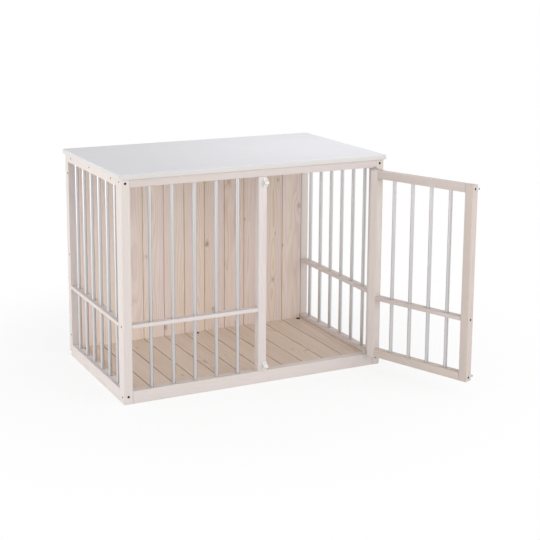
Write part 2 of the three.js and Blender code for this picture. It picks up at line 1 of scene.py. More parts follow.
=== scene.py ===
"""Dog crate end table: fine meshes, finishes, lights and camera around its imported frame.

A whitewashed pine frame holds satin metal bars, a boarded back and floor and a white top, and a
barred door swings on corner pivots and locks with two slide bolts. Everything is in metres in the
crate's own frame: X to the right, Y to the back wall, Z up, with the origin under its middle.
"""

import json
import logging
import math
import random
from dataclasses import dataclass
from enum import Enum
from typing import Any, Iterable, Mapping, Sequence

import bmesh
import bpy
from mathutils import Matrix, Vector


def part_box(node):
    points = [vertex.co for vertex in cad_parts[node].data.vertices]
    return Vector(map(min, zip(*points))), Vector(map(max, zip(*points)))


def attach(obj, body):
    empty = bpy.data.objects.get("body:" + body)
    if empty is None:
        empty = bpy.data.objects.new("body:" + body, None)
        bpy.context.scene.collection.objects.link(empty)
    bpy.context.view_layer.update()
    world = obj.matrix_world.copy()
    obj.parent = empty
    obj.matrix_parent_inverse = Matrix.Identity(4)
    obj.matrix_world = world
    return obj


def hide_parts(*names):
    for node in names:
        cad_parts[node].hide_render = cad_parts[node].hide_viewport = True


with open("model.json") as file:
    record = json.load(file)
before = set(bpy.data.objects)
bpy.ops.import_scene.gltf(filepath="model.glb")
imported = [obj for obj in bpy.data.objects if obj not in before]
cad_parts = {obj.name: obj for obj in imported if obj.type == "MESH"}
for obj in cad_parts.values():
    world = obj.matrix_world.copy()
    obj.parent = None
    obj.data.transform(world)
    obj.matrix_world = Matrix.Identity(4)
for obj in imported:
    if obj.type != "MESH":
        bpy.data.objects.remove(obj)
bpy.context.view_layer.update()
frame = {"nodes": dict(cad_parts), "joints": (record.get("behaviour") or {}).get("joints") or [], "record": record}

MM = 0.001
LOG = logging.getLogger("crate")

Mesh = bmesh.types.BMesh
Material = bpy.types.Material
Socket = bpy.types.NodeSocket
Value = Any  # a number, a colour, a vector or a node's output socket
Range = tuple[float, float]  # two ends
Point = tuple[float, float]  # two places, or a place and a level
Triple = tuple[float, float, float]
Colour = tuple[float, float, float, float]
Seat = tuple[Vector, Vector]  # the place of a screw and the way it points out

WELD_DISTANCE = 0.005 * MM  # vertices closer than this are one
FLAT_ANGLE = math.radians(1.0)  # faces that turn by less than this are one
NEAR = 0.1 * MM  # places closer than this are on one face
PITH_DISTANCE: Range = (15 * MM, 60 * MM)  # from the log's pith to the middle of a piece
LOG_LENGTH = 40.0  # the pieces come from anywhere along a log of this length
NOISE_RANGE: Range = (0.3, 0.7)  # nearly all of a noise lies in it
WHITE: Colour = (1.0, 1.0, 1.0, 1.0)
LEFT, RIGHT, FRONT = Vector((-1, 0, 0)), Vector((1, 0, 0)), Vector((0, -1, 0))


def linear_level(level: int) -> float:
    """A display level of 0 to 255 as a linear share of full light."""
    share = level / 255
    return share / 12.92 if share <= 0.04045 else ((share + 0.055) / 1.055) ** 2.4


def srgb(red: int, green: int, blue: int) -> Colour:
    """A display colour, in levels of 0 to 255, as the linear colour that the shaders take."""
    return (linear_level(red), linear_level(green), linear_level(blue), 1.0)


# ---- Node trees ----


class NodeGraph:
    """The node tree of a material or of the surroundings, with short calls for its nodes."""

    def __init__(self, owner: Material | bpy.types.World) -> None:
        """Empties the owner's tree.

        Args:
            owner: The material or the surroundings.
        """
        owner.use_nodes = True
        self.owner = owner
        self.tree = owner.node_tree
        self.tree.nodes.clear()

    def feed(self, target: Socket, value: Value) -> None:
        """Links an output to an input, or sets the input to a constant.

        Args:
            target: The input.
            value: The output or the constant.
        """
        if isinstance(value, Socket):
            self.tree.links.new(value, target)
        else:
            target.default_value = value

    def node(self, kind: str, inputs: Mapping[Any, Value], **settings: Any) -> bpy.types.Node:
        """Adds a node.

        Args:
            kind: The node's type name, without its leading "ShaderNode".
            inputs: The value of each input, by its name or number.
            **settings: Attributes of the node.

        Returns:
            The new node.
        """
        made = self.tree.nodes.new(f"ShaderNode{kind}")
        for key, setting in settings.items():
            setattr(made, key, setting)
        for key, value in inputs.items():
            self.feed(made.inputs[key], value)
        return made

    def math(self, operation: str, *values: Value) -> Socket:
        """One step of arithmetic on one to three values."""
        return self.node("Math", dict(enumerate(values)), operation=operation).outputs[0]

    def vector(self, operation: str, *values: Value) -> Socket:
        """One step of vector arithmetic that gives a vector."""
        made = self.node("VectorMath", dict(enumerate(values)), operation=operation)
        return made.outputs["Vector"]

    def length(self, vector: Value) -> Socket:
        """The length of a vector."""
        return self.node("VectorMath", {0: vector}, operation="LENGTH").outputs["Value"]

    def object_place(self) -> Socket:
        """The place of a point in the crate's frame."""
        return self.node("TexCoord", {}).outputs["Object"]

    def attribute(self, name: str, output: str = "Fac") -> Socket:
        """An attribute of the mesh: a number from "Fac", or a vector from "Vector"."""
        return self.node("Attribute", {}, attribute_name=name).outputs[output]

    def noise(self, place: Value, counts: Triple, detail: float = 2.0,
              output: str = "Fac") -> Socket:
        """Noise with the given numbers of blobs to the metre along each axis of the place."""
        inputs = {"Vector": self.vector("MULTIPLY", place, counts), "Scale": 1.0, "Detail": detail}
        return self.node("TexNoise", inputs).outputs[output]

    def rescale(self, value: Value, spread: Range, start: float = 0.0, end: float = 1.0,
                smooth: bool = False) -> Socket:
        """Maps a range of values to start..end and clamps the rest.

        Args:
            value: The value.
            spread: The range that is mapped.
            start: What the range's first end becomes.
            end: What its second end becomes.
            smooth: True for a smooth step, False for a line.

        Returns:
            The mapped value.
        """
        inputs = {0: value, 1: spread[0], 2: spread[1], 3: start, 4: end}
        kind = "SMOOTHSTEP" if smooth else "LINEAR"
        return self.node("MapRange", inputs, interpolation_type=kind).outputs[0]

    def ramp(self, factor: Value, stops: Sequence[Point]) -> Socket:
        """Draws a curve of grey levels.

        Args:
            factor: Where on the curve.
            stops: Place and level of each of its points.

        Returns:
            The level.
        """
        made = self.node("ValToRGB", {0: factor})
        elements = made.color_ramp.elements
        while len(elements) < len(stops):
            elements.new(0.5)
        for element, (place, level) in zip(elements, stops):
            element.position = place
            element.color = (level, level, level, 1.0)
        return made.outputs["Color"]

    def mix(self, factor: Value, first: Value, second: Value, blend: str = "MIX") -> Socket:
        """Mixes two colours, which go in at sockets 6 and 7 of the node and come out at 2."""
        inputs = {0: factor, 6: first, 7: second}
        return self.node("Mix", inputs, data_type="RGBA", blend_type=blend).outputs[2]

    def bump(self, height: Value, depth: float) -> Socket:
        """A normal from a height between 0 and 1 that stands for the given depth in metres."""
        return self.node("Bump", {"Height": height, "Distance": depth}).outputs["Normal"]

    def seen_ray(self) -> Socket:
        """Tells the rays that show the background from the rays that light the crate.

        Returns:
            1 for rays from the camera, off gloss and through clear things, and 0 for the rest.
        """
        rays = self.node("LightPath", {}).outputs
        mirrored = self.math("MAXIMUM", rays["Is Camera Ray"], rays["Is Glossy Ray"])
        return self.math("MAXIMUM", mirrored, rays["Is Transmission Ray"])

    def show(self, shader: bpy.types.Node) -> None:
        """Puts a shader on the owner's output."""
        kind = "OutputWorld" if isinstance(self.owner, bpy.types.World) else "OutputMaterial"
        self.node(kind, {"Surface": shader.outputs[0]})

    def finish(self, inputs: Mapping[str, Value]) -> Material:
        """Puts a Principled shader with the given inputs on the output of a material."""
        self.show(self.node("BsdfPrincipled", inputs))
        return self.owner


# ---- Finishes ----


@dataclass(frozen=True)
class Knot:
    """A knot in a board, with the growth rings bent round it.

    Attributes:
        place: Its middle in the crate's frame, in millimetres.
        radius: Radius of its core, in millimetres.
        depth: How much darker its core is, 0 to 1.
        core_fade: Distances at which its core starts and is full, in radii.
        bend_reach: How far out the rings are bent, in radii.
        bend_push: How far the rings are pushed outwards at its middle, in radii.
    """

    place: Triple
    radius: float
    depth: float
    core_fade: Range = (1.25, 0.2)
    bend_reach: float = 3.0
    bend_push: float = 1.1


@dataclass(frozen=True)
class WhitewashedPine:
    """Planed pine under a thin white glaze, with growth rings that run along the grain attribute.

    The grain attribute is a place in the log, across it twice and then along it, and each count
    is a number of noise blobs to the metre along those three.

    Attributes:
        name: The material's name.
        wash: Colour of the soft early wood under the glaze.
        line: Colour of the hard late-wood lines.
        warm: Tint that some stretches of the wood lean to.
        seam: Colour down in the seams between two boards: the unglazed wood, darkened
            further as painted shade for the shade that falls into the groove.
        seam_start: How deep in a seam's bevel that colour starts, as a share of its depth.
        ring_spacing: Mean width of a growth ring, in metres.
        line_strength: How far the late-wood lines reach their colour.
        line_profile: Place in a ring and darkness there, from one late-wood line to the next.
        wander_counts: Counts of the slow wander of the rings.
        wander_reach: How far the rings wander, in metres.
        uneven_counts: Counts of the change in the rings' width.
        uneven_reach: How much their width changes, in rings.
        patch_counts: Counts of the patches where the lines are strong or faint.
        patch_levels: Strength of the lines in a faint and in a strong patch.
        fibre_counts: Counts of the fine fibres.
        fibre_fade: Noise levels between which a fibre starts and is full.
        fibre_strength: How far the fibres reach the lines' colour.
        streak_counts: Counts of the long streaks of the warm tint.
        streak_fade: Noise levels between which a streak starts and is full.
        knots: Knots at known places.
        knot_stretch: How distances from a knot are scaled along X, Y and Z.
        knot_core: Colour of a knot's core.
        knot_smudge: Counts of the smudge round the cores, along X, Y and Z.
        knot_ragged: How far the smudge draws a core's outline out and in.
        yellowing_and_shade_tint: Tint of the wood at a tone of 1; the tone stands for the wood's own
        yellowing and, on some pieces, for painted shade.
        roughness: Roughness of the glaze, least and most.
        gloss: Strength of its gloss.
        relief: Depth of the fibres, in metres.
        line_relief: Height of the late-wood lines, as a share of the fibres' depth.
    """

    name: str
    wash: Colour
    line: Colour
    warm: Colour
    seam: Colour = srgb(190, 165, 150)
    seam_start: float = 0.8
    ring_spacing: float = 5.0 * MM
    line_strength: float = 0.3
    line_profile: tuple[Point, ...] = (
        (0.0, 0.2), (0.35, 0.0), (0.75, 0.7), (0.88, 1.0), (1.0, 0.2))
    wander_counts: Triple = (8.0, 8.0, 1.5)
    wander_reach: Triple = (0.07, 0.07, 0.0)
    uneven_counts: Triple = (60.0, 60.0, 0.0)
    uneven_reach: float = 1.2
    patch_counts: Triple = (22.0, 22.0, 3.0)
    patch_levels: Range = (0.4, 1.3)
    fibre_counts: Triple = (900.0, 900.0, 12.0)
    fibre_fade: Range = (0.35, 0.75)
    fibre_strength: float = 0.16
    streak_counts: Triple = (38.0, 38.0, 0.9)
    streak_fade: Range = (0.35, 0.65)
    knots: tuple[Knot, ...] = ()
    knot_stretch: Triple = (1.0, 1.0, 1.0)
    knot_core: Colour = srgb(160, 138, 126)
    knot_smudge: Triple = (130.0, 130.0, 130.0)
    knot_ragged: Range = (0.75, 1.3)
    yellowing_and_shade_tint: Colour = (0.82, 0.78, 0.74, 1.0)
    roughness: Range = (0.48, 0.66)
    gloss: float = 0.35
    relief: float = 0.09 * MM
    line_relief: float = 0.6

    def knot_field(self, graph: NodeGraph) -> tuple[Value, Value]:
        """Builds the cores of the knots and the swell of the rings round them.

        Args:
            graph: The material's node tree.

        Returns:
            The darkness of the cores, and the distance in metres that the rings are pushed by.
        """
        place = graph.object_place()
        smudge = graph.noise(place, self.knot_smudge)
        outline = graph.rescale(smudge, NOISE_RANGE, *self.knot_ragged)
        cores: Value = 0.0
        swell: Value = 0.0
        for knot in self.knots:
            offset = graph.vector("SUBTRACT", place, tuple(value * MM for value in knot.place))
            distance = graph.length(graph.vector("MULTIPLY", offset, self.knot_stretch))
            radius = knot.radius * MM
            fade = (knot.core_fade[0] * radius, knot.core_fade[1] * radius)
            ragged = graph.math("MULTIPLY", distance, outline)
            core = graph.rescale(ragged, fade, 0.0, knot.depth, smooth=True)
            cores = graph.math("MAXIMUM", cores, core)
            reach = graph.math("DIVIDE", distance, knot.bend_reach * radius)
            fall = graph.math("MULTIPLY", graph.math("POWER", reach, 2.0), -1.0)
            bell = graph.math("EXPONENT", fall)
            swell = graph.math("MULTIPLY_ADD", bell, knot.bend_push * radius, swell)
        return cores, swell

    def ring_lines(self, graph: NodeGraph, grain: Value, swell: Value) -> Value:
        """Builds the late-wood lines: rings round the pith, cut by the board's face.

        Args:
            graph: The material's node tree.
            grain: Place in the log, in metres.
            swell: How far the knots push the rings, in metres.

        Returns:
            The lines' darkness, 0 to 1.
        """
        wander = graph.noise(grain, self.wander_counts, output="Color")
        drift = graph.vector("MULTIPLY", graph.vector("SUBTRACT", wander, (0.5, 0.5, 0.5)),
                             self.wander_reach)
        section = graph.vector("MULTIPLY", graph.vector("ADD", grain, drift), (1.0, 1.0, 0.0))
        radius = graph.math("ADD", graph.length(section), swell)
        uneven = graph.noise(section, self.uneven_counts, 1.0)
        rings = graph.math("MULTIPLY_ADD", uneven, self.uneven_reach,
                           graph.math("DIVIDE", radius, self.ring_spacing))
        return graph.ramp(graph.math("FRACT", rings), self.line_profile)

    def build(self) -> Material:
        """Builds the finish.

        Returns:
            The material.
        """
        graph = NodeGraph(bpy.data.materials.new(self.name))
        grain = graph.attribute("grain", "Vector")
        cores, swell = self.knot_field(graph)
        lines = self.ring_lines(graph, grain, swell)

        fibre = graph.noise(grain, self.fibre_counts, 3.0)
        patch = graph.noise(grain, self.patch_counts, 3.0)
        streak = graph.noise(grain, self.streak_counts)

        line_level = graph.math("MULTIPLY", lines, self.line_strength)
        line_level = graph.math("MULTIPLY", line_level,
                                graph.rescale(patch, NOISE_RANGE, *self.patch_levels))
        fibre_level = graph.rescale(fibre, self.fibre_fade, 0.0, self.fibre_strength)
        warmth = graph.rescale(streak, self.streak_fade, smooth=True)
        colour = graph.mix(warmth, self.wash, self.warm)
        colour = graph.mix(graph.math("ADD", line_level, fibre_level), colour, self.line)
        # The tone tint darkens a piece for its own yellowing and, where tones were set high, as painted shade.
        colour = graph.mix(graph.attribute("tone"), colour, self.yellowing_and_shade_tint, "MULTIPLY")
        colour = graph.mix(cores, colour, self.knot_core)
        # Seams: unglazed wood darkened by painted shade, mixed in with the depth in the groove.
        seam_bare_wood_and_shade = graph.rescale(graph.attribute("seam"), (self.seam_start, 1.0))
        height = graph.math("SUBTRACT", graph.math("MULTIPLY", lines, self.line_relief), fibre)
        return graph.finish({
            "Base Color": graph.mix(seam_bare_wood_and_shade, colour, self.seam),
            "Roughness": graph.rescale(fibre, NOISE_RANGE, *self.roughness),
            "Specular IOR Level": self.gloss,
            "Normal": graph.bump(height, self.relief),
        })


@dataclass(frozen=True)
class PlainFinish:
    """A finish without figure: faint patches in its colour and a fine grain in its face.

    Attributes:
        name: The material's name.
        colour: Its colour.
        grain_counts: Counts of the grains to the metre along X, Y and Z.
        patch_counts: Counts of the patches to the metre, or None if they lie on the grains.
        patch_share: Light of the darkest patches, as a share of the colour's.
        grain_depth: Depth of the grain, in metres.
        roughness: Roughness, least and most.
        gloss: Strength of its gloss.
        metallic: 1 for uncoated metal and 0 for the rest.
    """

    name: str
    colour: Colour
    grain_counts: Triple = (2500.0, 2500.0, 2500.0)
    patch_counts: Triple | None = (90.0, 90.0, 90.0)
    patch_share: float = 0.95
    grain_depth: float = 0.01 * MM
    roughness: Range = (0.34, 0.44)
    gloss: float = 0.5
    metallic: float = 0.0

    def build(self) -> Material:
        """Builds the finish.

        Returns:
            The material.
        """
        graph = NodeGraph(bpy.data.materials.new(self.name))
        place = graph.object_place()
        grain = graph.noise(place, self.grain_counts)
        patch = graph.noise(place, self.patch_counts or self.grain_counts)
        dark = tuple(self.patch_share * channel for channel in self.colour[:3]) + (1.0,)
        return graph.finish({
            "Base Color": graph.mix(graph.rescale(patch, NOISE_RANGE), self.colour, dark),
            "Metallic": self.metallic,
            "Roughness": graph.rescale(grain, NOISE_RANGE, *self.roughness),
            "Specular IOR Level": self.gloss,
            "Normal": graph.bump(grain, self.grain_depth),
        })


@dataclass(frozen=True)
class WhiteLaminate(PlainFinish):
    """Matt white laminate with soft clouds and a faint orange peel."""

    grain_counts: Triple = (700.0, 700.0, 700.0)
    patch_counts: Triple | None = (5.0, 5.0, 5.0)
    patch_share: float = 0.98
    grain_depth: float = 0.0015 * MM
    roughness: Range = (0.55, 0.58)
    gloss: float = 0.2


@dataclass(frozen=True)
class SatinMetal(PlainFinish):
    """Metal with a satin finish: drawn lines, or an even speckle if its counts are equal."""

    patch_counts: Triple | None = None
    patch_share: float = 0.86
    grain_depth: float = 0.008 * MM
    roughness: Range = (0.35, 0.46)
    metallic: float = 1.0


@dataclass(frozen=True)
class MouldedPlastic(PlainFinish):
    """Moulded plastic with a finely grained skin."""


@dataclass(frozen=True)
class BlackOxide(PlainFinish):
    """Steel under a matt black oxide coat."""

    roughness: Range = (0.46, 0.56)
    gloss: float = 0.2


# ---- Mesh tools ----


def solid_copy(node: str) -> Mesh:
    """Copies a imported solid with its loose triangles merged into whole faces.

    Args:
        node: The CAD node's name.

    Returns:
        A new mesh in the crate's frame.
    """
    mesh = bmesh.new()
    mesh.from_mesh(frame["nodes"][node].data)
    bmesh.ops.remove_doubles(mesh, verts=mesh.verts, dist=WELD_DISTANCE)
    bmesh.ops.dissolve_limit(mesh, angle_limit=FLAT_ANGLE, use_dissolve_boundaries=False,
                             verts=mesh.verts, edges=mesh.edges)
    return mesh


def ease_edges(mesh: Mesh, width: float, segments: int = 2, least_angle: float = 60.0) -> None:
    """Rounds every edge that turns by more than an angle.

    Args:
        mesh: The mesh to change.
        width: Width of the rounding, in metres.
        segments: Steps of the rounding.
        least_angle: Smallest turn that is rounded, in degrees.
    """
    sharp = [edge for edge in mesh.edges
             if edge.is_manifold and edge.calc_face_angle() > math.radians(least_angle)]
    bmesh.ops.bevel(mesh, geom=sharp, offset=width, offset_type="OFFSET", affect="EDGES",
                    segments=segments, profile=0.5, clamp_overlap=True, material=-1)


def shade_smooth(mesh: Mesh, largest_angle: float) -> None:
    """Shades faces smoothly across the edges that turn only a little.

    Args:
        mesh: The mesh to change.
        largest_angle: Edges that turn by this or more stay sharp, in degrees.
    """
    for face in mesh.faces:
        face.smooth = True
    for edge in mesh.edges:
        edge.smooth = edge.is_manifold and edge.calc_face_angle() < math.radians(largest_angle)


def mark_timber(mesh: Mesh, place: Matrix, seed: str, tone: float) -> None:
    """Stores each vertex's place in its own stretch of the log, and the tone of the piece.

    Args:
        mesh: The mesh of one straight piece of timber.
        place: The frame of the sub-assembly that the piece lies square in.
        seed: Text that picks the stretch of the log.
        tone: The piece's tone, 0 to 1: its own yellowing, raised on some pieces as painted shade.
    """
    grain = mesh.verts.layers.float_vector.new("grain")
    inverse = place.inverted()
    local = [inverse @ vertex.co for vertex in mesh.verts]
    low = [min(point[axis] for point in local) for axis in range(3)]
    high = [max(point[axis] for point in local) for axis in range(3)]
    thin_to_long = sorted(range(3), key=lambda axis: high[axis] - low[axis])
    dice = random.Random(seed)
    turn = dice.uniform(0.0, math.tau)
    pith = dice.uniform(*PITH_DISTANCE)
    along_log = dice.uniform(0.0, LOG_LENGTH)
    offset = Vector((pith * math.cos(turn), pith * math.sin(turn), along_log))
    for vertex, point in zip(mesh.verts, local):
        thick, wide, along = (point[axis] - (high[axis] + low[axis]) / 2 for axis in thin_to_long)
        vertex[grain] = Vector((wide, thick, along)) + offset
    layer = mesh.verts.layers.float.new("tone")
    for vertex in mesh.verts:
        vertex[layer] = tone


def join_meshes(parts: Iterable[Mesh]) -> Mesh:
    """Puts several meshes into one and frees them.

    Args:
        parts: The meshes.

    Returns:
        The joined mesh.
    """
    joined = bmesh.new()
    for part in parts:
        data = bpy.data.meshes.new("part")
        part.to_mesh(data)
        part.free()
        joined.from_mesh(data)
        bpy.data.meshes.remove(data)
    return joined


def finish_piece(name: str, mesh: Mesh, finish: Material, body: str,
                 replaced: Iterable[str] = (), second_finish: Material | None = None) -> None:
    """Turns a mesh into a piece of the crate.

    Args:
        name: The piece's name.
        mesh: Its mesh, in the crate's frame.
        finish: Its finish.
        body: The body it moves with.
        replaced: CAD nodes that it stands for.
        second_finish: The finish of the faces with material index 1.
    """
    data = bpy.data.meshes.new(name)
    mesh.to_mesh(data)
    mesh.free()
    packed_normals = data.attributes.get("custom_normal")
    if packed_normals is not None:  # they belong to the solid's own triangles
        data.attributes.remove(packed_normals)
    for each in (finish, second_finish):
        if each is not None:
            data.materials.append(each)
    piece = bpy.data.objects.new(name, data)
    bpy.context.scene.collection.objects.link(piece)
    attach(piece, body)
    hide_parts(*replaced)
    LOG.info("%s on %s", name, body)


def node_centre(node: str) -> Vector:
    """The middle of a CAD node's box."""
    low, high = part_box(node)
    return (low + high) / 2


def nodes_of_slot(slot: str) -> list[str]:
    """Names of the CAD nodes with a material slot."""
    return [part["node"] for part in frame["record"]["subparts"] if part["material_slot"] == slot]


def body_of_node(node: str) -> str:
    """The body that a CAD node moves with."""
    bodies = frame["record"]["behaviour"]["bodies"]
    return next(body for body, members in bodies.items() if node in members)


def door_place() -> Matrix:
    """Works out the frame of the open door.

    Returns:
        A frame on the hinge line whose X axis runs from the door's free edge to the hinge.
    """
    swing = next(entry for entry in frame["joints"] if entry["name"] == "door_swing")
    opened = math.radians(-swing["range_deg"][0])
    return Matrix.Translation(swing["pos_m"]) @ Matrix.Rotation(opened, 4, "Z")


def facing(place: Vector, direction: Vector) -> Matrix:
    """A frame at a place whose Z axis points in a direction."""
    return Matrix.Translation(place) @ direction.to_track_quat("Z", "Y").to_matrix().to_4x4()


# ---- Timber, bars, boards and top ----


@dataclass
class TimberFrame:
    """Every straight piece of the pine frame and of the door.

    Attributes:
        finish: The pine's finish.
        tones: Tone of pieces, 0 to 1, by CAD node: their own yellowing, raised on the door's
        pieces and the front top rail as painted shade.
        other_tones: Least and greatest tone of the pieces that aren't in tones.
        end_ease: Rounding of the sawn ends and of the mouths of the sockets.
    """

    finish: Material
    tones: Mapping[str, float]
    other_tones: Range = (0.0, 0.25)
    end_ease: float = 0.5 * MM

    def build(self) -> None:
        """Builds each piece from its solid, with eased ends and its own grain."""
        for node in nodes_of_slot("pine_frame"):
            body = body_of_node(node)
            place = door_place() if body == "door" else Matrix.Identity(4)
            tone = self.tones.get(node, random.Random(node).uniform(*self.other_tones))
            mesh = solid_copy(node)
            ease_edges(mesh, self.end_ease)
            mark_timber(mesh, place, node, tone)
            shade_smooth(mesh, largest_angle=46.0)
            finish_piece(f"{node}_timber", mesh, self.finish, body, [node])


@dataclass
class Bars:
    """The round metal bars of the front, the sides and the door.

    Attributes:
        finish: The bars' finish.
        sides: Sides of a bar.
        end_chamfer: Chamfer of a bar's ends.
    """

    finish: Material
    sides: int = 48
    end_chamfer: float = 0.6 * MM

    def build(self) -> None:
        """Builds a fine round rod in place of each bar."""
        for node in nodes_of_slot("bars"):
            low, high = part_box(node)
            radius = (high.x - low.x + high.y - low.y) / 4
            mesh = bmesh.new()
            bmesh.ops.create_cone(mesh, cap_ends=True, segments=self.sides, radius1=radius,
                                  radius2=radius, depth=high.z - low.z)
            ease_edges(mesh, self.end_chamfer, segments=1)
            bmesh.ops.translate(mesh, verts=mesh.verts, vec=(low + high) / 2)
            shade_smooth(mesh, largest_angle=40.0)
            finish_piece(f"{node}_rod", mesh, self.finish, body_of_node(node), [node])


@dataclass
class Boarding:
    """A wall or a floor of tongue-and-groove boards.

    Attributes:
        node: The CAD node that it stands for.
        name: The piece's name.
        finish: The boards' finish.
        place: Its frame: X across the boards, Y into their depth, Z along them.
        tones: Tone of each board, 0 to 1: its own yellowing, and on the wall's right-hand
        boards also painted shade.
        bevel_width: Width of the bevel of a board's face along each seam.
        bevel_depth: Depth of that bevel.
        seam_gap: Gap between two boards in front of the tongue.
        rear_gap: Gap between two boards behind the tongue.
        tongue_length: Length of the tongue.
        tongue_span: Where the tongue lies, as shares of the depth.
        groove_slack: Play of the tongue in its groove.
    """

    node: str
    name: str
    finish: Material
    place: Matrix
    tones: tuple[float, ...]
    bevel_width: float = 1.9 * MM
    bevel_depth: float = 2.2 * MM
    seam_gap: float = 1.0 * MM
    rear_gap: float = 1.2 * MM
    tongue_length: float = 4.5 * MM
    tongue_span: Range = (0.4, 0.66)
    groove_slack: float = 0.3 * MM

    def outline(self, index: int, pitch: float, depth: float) -> list[Point]:
        """Works out the section of one board.

        Args:
            index: Number of the board, from the left.
            pitch: Width of a board.
            depth: Thickness of the boards.

        Returns:
            The corners of the section, across and into the depth.
        """
        slack, tongue = self.groove_slack, self.tongue_length
        top, bottom = (share * depth for share in self.tongue_span)
        gap, rear = self.seam_gap / 2, self.rear_gap / 2
        bevel = gap + self.bevel_width
        corners = [(bevel, 0.0), (pitch - bevel, 0.0), (pitch - gap, self.bevel_depth)]
        if index < len(self.tones) - 1:
            corners += [(pitch - gap, top), (pitch + tongue - slack, top + slack),
                        (pitch + tongue - slack, bottom - slack), (pitch - gap, bottom)]
        corners += [(pitch - rear, bottom), (pitch - rear, depth), (rear, depth), (rear, bottom)]
        if index > 0:
            corners += [(tongue, bottom), (tongue, top - slack), (gap, top - slack)]
        return corners + [(gap, self.bevel_depth)]

    def mark_seam(self, mesh: Mesh, face: float, rear: float) -> None:
        """Stores how deep each vertex lies in a seam's bevel, 0 to 1, and 0 on the rear face.

        Args:
            mesh: The mesh of one board, in the boarding's frame.
            face: Where the boards' face lies along Y.
            rear: Where their rear face lies.
        """
        seam = mesh.verts.layers.float.new("seam")
        for vertex in mesh.verts:
            at_rear = vertex.co.y > rear - NEAR
            vertex[seam] = 0.0 if at_rear else min((vertex.co.y - face) / self.bevel_depth, 1.0)

    def build(self) -> None:
        """Builds the boards as one piece, each with its own stretch of grain."""
        inverse = self.place.inverted()
        ends = [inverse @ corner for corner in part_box(self.node)]
        low = Vector([min(corner[axis] for corner in ends) for axis in range(3)])
        high = Vector([max(corner[axis] for corner in ends) for axis in range(3)])
        size = high - low
        pitch = size.x / len(self.tones)
        boards = []
        for index, tone in enumerate(self.tones):
            mesh = bmesh.new()
            corners = [mesh.verts.new((low.x + index * pitch + across, low.y + into, low.z))
                       for across, into in self.outline(index, pitch, size.y)]
            section = mesh.faces.new(corners)
            swept = bmesh.ops.extrude_face_region(mesh, geom=[section])["geom"]
            moved = [item for item in swept if isinstance(item, bmesh.types.BMVert)]
            bmesh.ops.translate(mesh, verts=moved, vec=(0, 0, size.z))
            bmesh.ops.recalc_face_normals(mesh, faces=mesh.faces)
            mark_timber(mesh, Matrix.Identity(4), f"{self.node} {index}", tone)
            self.mark_seam(mesh, low.y, high.y)
            boards.append(mesh)
        joined = join_meshes(boards)
        bmesh.ops.transform(joined, matrix=self.place, verts=joined.verts)
        finish_piece(self.name, joined, self.finish, "crate", [self.node])


@dataclass
class TableTop:
    """The white table top, a slab with rounded corners and eased edges.

    Attributes:
        finish: The laminate of its faces.
        edge_band_with_shade: The band round its edges: the laminate in a warmer white, darker than the
        faces as painted shade on the upright edges.
        corner_radius: Radius of its corners seen from above.
        corner_steps: Steps of a corner's rounding.
        edge_ease: Rounding of its upper and lower edges.
        edge_steps: Steps of an edge's rounding.
        band_tilt: Faces whose normal rises by less than this, 0 to 1, belong to the edge band.
    """

    finish: Material
    edge_band_with_shade: Material
    corner_radius: float = 4.0 * MM
    corner_steps: int = 8
    edge_ease: float = 1.4 * MM
    edge_steps: int = 4
    band_tilt: float = 0.3

    def build(self) -> None:
        """Builds the slab in place of its CAD node."""
        low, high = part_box("table_top")
        mesh = bmesh.new()
        bmesh.ops.create_cube(mesh, size=1.0, matrix=Matrix.Diagonal((*(high - low), 1.0)))
        upright = [edge for edge in mesh.edges
                   if abs(edge.verts[0].co.z - edge.verts[1].co.z) > 0.5 * (high.z - low.z)]
        bmesh.ops.bevel(mesh, geom=upright, offset=self.corner_radius, offset_type="OFFSET",
                        affect="EDGES", segments=self.corner_steps, profile=0.5,
                        clamp_overlap=True, material=-1)
        ease_edges(mesh, self.edge_ease, self.edge_steps)
        bmesh.ops.translate(mesh, verts=mesh.verts, vec=(low + high) / 2)
        shade_smooth(mesh, largest_angle=40.0)
        mesh.normal_update()
        for face in mesh.faces:
            face.material_index = 1 if abs(face.normal.z) < self.band_tilt else 0
        finish_piece("table_top_slab", mesh, self.finish, "crate", ["table_top"],
                     self.edge_band_with_shade)


# ---- Hardware and fasteners ----


@dataclass
class Hardware:
    """Latches, slide bolts and corner pivots, with softened edges.

    Attributes:
        plastic: Finish of the keepers and housings.
        bolt_steel: Finish of the slide bolts.
        plated_steel: Finish of the pivots.
        plastic_ease: Rounding of the keepers' and housings' edges.
        bolt_ease: Rounding of the slide bolts' edges.
        pivot_ease: Rounding of the pivots' edges.
    """

    plastic: Material
    bolt_steel: Material
    plated_steel: Material
    plastic_ease: float = 0.5 * MM
    bolt_ease: float = 0.3 * MM
    pivot_ease: float = 0.25 * MM

    def soften(self, slot: str, finish: Material, width: float) -> None:
        """Builds a finer copy of each small part with a material slot.

        Args:
            slot: The material slot.
            finish: The parts' finish.
            width: Rounding of their edges.
        """
        for node in nodes_of_slot(slot):
            mesh = solid_copy(node)
            ease_edges(mesh, width, least_angle=50.0)
            shade_smooth(mesh, largest_angle=40.0)
            finish_piece(f"{node}_fine", mesh, finish, body_of_node(node), [node])

    def build(self) -> None:
        """Builds every latch and pivot part."""
        self.soften("white_plastic", self.plastic, self.plastic_ease)
        self.soften("bolt_steel", self.bolt_steel, self.bolt_ease)
        self.soften("hinge_steel", self.plated_steel, self.pivot_ease)


class Drive(Enum):
    """Shape of the recess in a screw's head."""

    HEX = "hex"
    CROSS = "cross"


